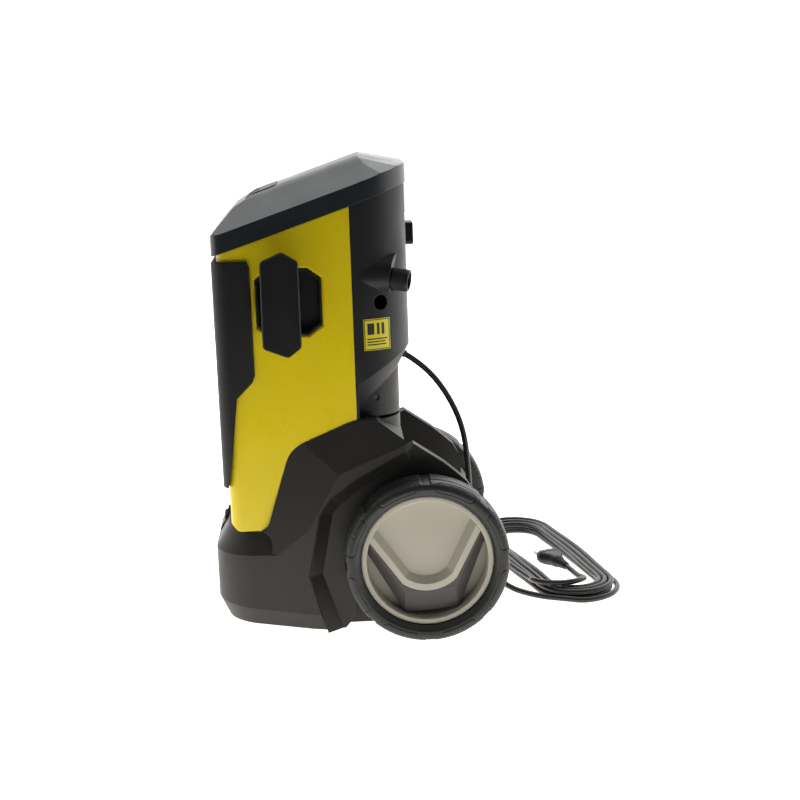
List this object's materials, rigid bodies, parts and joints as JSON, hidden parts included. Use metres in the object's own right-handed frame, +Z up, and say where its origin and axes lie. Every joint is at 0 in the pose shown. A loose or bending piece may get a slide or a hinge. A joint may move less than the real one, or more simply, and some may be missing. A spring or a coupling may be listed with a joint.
{
  "type": "pressure washer",
  "caption": "Upright electric pressure washer on two rear wheels, with telescopic handle, cable hook, water fittings and mains cord.",
  "frame": {"origin": "on the floor, under the middle of the machine's bounding box, without the mains cord", "axes": "+X is the machine's left as seen from behind, +Y towards the wheels at the rear, +Z up"},
  "size_m": [0.4801, 0.5284, 0.5799],
  "materials": {
    "case_yellow": "smooth satin moulded plastic",
    "case_black": "fine-grained moulded plastic",
    "cover_black": "satin moulded plastic",
    "base_black": "fine-grained moulded plastic",
    "trim_black": "satin moulded plastic",
    "rim_grey": "satin warm grey plastic",
    "tyre_black": "soft matte tread",
    "rubber_black": "matte rubber",
    "cord_black": "semi-matte cable sheath",
    "tube_alu": "satin anodised",
    "steel": "bright steel",
    "cast": "die-cast aluminium",
    "iron": "laminated electrical steel",
    "copper": "enamelled copper wire",
    "brass": "turned brass",
    "hose_clear": "smooth hose",
    "label_yellow": "printed foil",
    "filter_blue": "fine plastic mesh"
  },
  "bodies": {
    "case": {"left_case_shell": "case_yellow", "right_case_shell": "case_yellow", "rear_case_shell": "case_black", "front_panel": "trim_black", "top_cover": "cover_black", "handle_guide": "base_black", "hook_dish": "trim_black", "hook_screw": "steel", "power_switch": "base_black", "base_housing": "base_black", "left_wheel_frame": "base_black", "right_wheel_frame": "base_black", "axle": "steel", "axle_clips": "steel", "motor_can": "cast", "motor_end_bell": "cast", "stator_core": "iron", "stator_windings": "copper", "shaft_bearings": "steel", "run_capacitor": "base_black", "pump_housing": "cast", "cylinder_block": "cast", "pump_pistons": "steel", "piston_springs": "steel", "pump_head": "brass", "drive_bolts": "steel", "drive_mounts": "rubber_black", "outlet_socket": "trim_black", "pressure_tube": "steel", "inlet_connector": "trim_black", "inlet_filter": "filter_blue", "water_tube": "hose_clear", "front_feet": "rubber_black", "rear_clip": "trim_black", "side_label": "label_yellow", "case_screws": "steel", "cord_gland": "rubber_black", "power_cord": "cord_black", "cord_tail": "cord_black", "cord_coil": "cord_black", "mains_plug": "cord_black", "plug_pins": "brass"},
    "left_wheel": {"left_tyre": "tyre_black", "left_rim": "rim_grey", "left_hub_cover": "rim_grey", "left_hub_insert": "base_black"},
    "right_wheel": {"right_tyre": "tyre_black", "right_rim": "rim_grey", "right_hub_cover": "rim_grey", "right_hub_insert": "base_black"},
    "handle": {"handle_grip": "trim_black", "handle_tubes": "tube_alu"},
    "handle_button": {"handle_release_button": "trim_black"},
    "knob": {"control_knob": "trim_black"},
    "hook": {"hook_plate": "trim_black"},
    "inlet_nut": {"inlet_ring_nut": "trim_black"},
    "outlet_button": {"outlet_release": "trim_black"},
    "drive_rotor": {"motor_rotor": "iron", "motor_shaft": "steel", "swash_plate": "steel"}
  },
  "joints": [
    {"name": "left_wheel_spin", "type": "hinge", "parent": "case", "child": "left_wheel", "pos_m": [0.14, 0.079, 0.1], "axis": [1, 0, 0], "continuous": true},
    {"name": "right_wheel_spin", "type": "hinge", "parent": "case", "child": "right_wheel", "pos_m": [-0.14, 0.079, 0.1], "axis": [1, 0, 0], "continuous": true},
    {"name": "handle_slide", "type": "slide", "parent": "case", "child": "handle", "axis": [0, 0, 1], "range_m": [0, 0.24]},
    {"name": "handle_button_press", "type": "slide", "parent": "handle", "child": "handle_button", "axis": [0, 0, -1], "range_m": [0, 0.003], "stiffness_N_per_m": 800},
    {"name": "knob_turn", "type": "hinge", "parent": "case", "child": "knob", "pos_m": [0, -0.16, 0.372], "axis": [0, -1, 0], "range_deg": [0, 90]},
    {"name": "hook_turn", "type": "hinge", "parent": "case", "child": "hook", "pos_m": [0.12, -0.083, 0.412], "axis": [1, 0, 0], "range_deg": [0, 90]},
    {"name": "inlet_nut_spin", "type": "hinge", "parent": "case", "child": "inlet_nut", "pos_m": [0.095, 0.071, 0.431], "axis": [0.2559, 0.9567, -0.139], "continuous": true},
    {"name": "outlet_button_press", "type": "slide", "parent": "case", "child": "outlet_button", "axis": [0, 0, -1], "range_m": [0, 0.003], "stiffness_N_per_m": 600},
    {"name": "drive_spin", "type": "hinge", "parent": "case", "child": "drive_rotor", "pos_m": [0, -0.038, 0.24], "axis": [0, 0, 1], "continuous": true}
  ]
}
